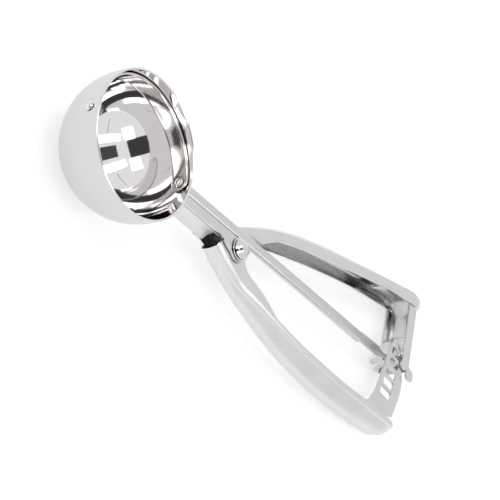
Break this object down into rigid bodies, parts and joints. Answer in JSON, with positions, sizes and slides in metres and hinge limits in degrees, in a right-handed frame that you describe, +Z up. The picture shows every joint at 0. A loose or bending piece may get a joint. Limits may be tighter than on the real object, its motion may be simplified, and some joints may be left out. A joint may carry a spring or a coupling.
{
  "type": "squeeze-handle ice cream disher",
  "caption": "Stainless disher: a half-round bowl on two hinged handles, whose squeeze swings a slotted rack over a toothed wheel and turns a scraper blade inside the bowl.",
  "frame": {"origin": "bottom centre of the bounding box of the disher lying at rest on its bowl and its two handle ends", "axes": "+Z is up; +X runs from the bowl to the handle ends, so the drive shaft lies in the XZ plane and dips 7.09 degrees towards +X; +Y is on the fixed handle's side"},
  "size_m": [0.2066, 0.0669, 0.0361],
  "materials": {
    "bowl_steel": "blasted outside, mirror polished inside",
    "polished_steel": "polished stainless steel",
    "brushed_steel": "satin brushed stainless steel"
  },
  "bodies": {
    "frame": {"bowl": "bowl_steel", "far_pivot_rivet": "polished_steel", "shank": "brushed_steel", "top_plate": "brushed_steel", "fixed_handle": "brushed_steel", "end_bracket": "brushed_steel", "pivot_rivet": "polished_steel", "pivot_washer": "polished_steel", "pivot_spacer": "brushed_steel", "torsion_spring": "brushed_steel"},
    "lever": {"squeeze_handle": "brushed_steel", "rack_plate": "brushed_steel"},
    "blade": {"scraper_blade": "polished_steel", "blade_rivet": "polished_steel", "drive_shaft": "brushed_steel", "pinion": "polished_steel"}
  },
  "joints": [
    {"name": "handle_squeeze", "type": "hinge", "parent": "frame", "child": "lever", "pos_m": [-0.00933, -0.00595, 0.01994], "axis": [0.1234, 0, 0.9924], "range_deg": [0, 9.6], "stiffness_Nm_per_rad": 1, "springref_deg": -34.38, "deforming": ["torsion_spring"]},
    {"name": "blade_sweep", "type": "hinge", "parent": "frame", "child": "blade", "pos_m": [-0.07413, 0.00065, 0.028], "axis": [0.9924, 0, -0.1234], "range_deg": [-164, 0]}
  ],
  "couplings": [
    {"joint": "blade_sweep", "follows": "handle_squeeze", "ratio": -17}
  ]
}
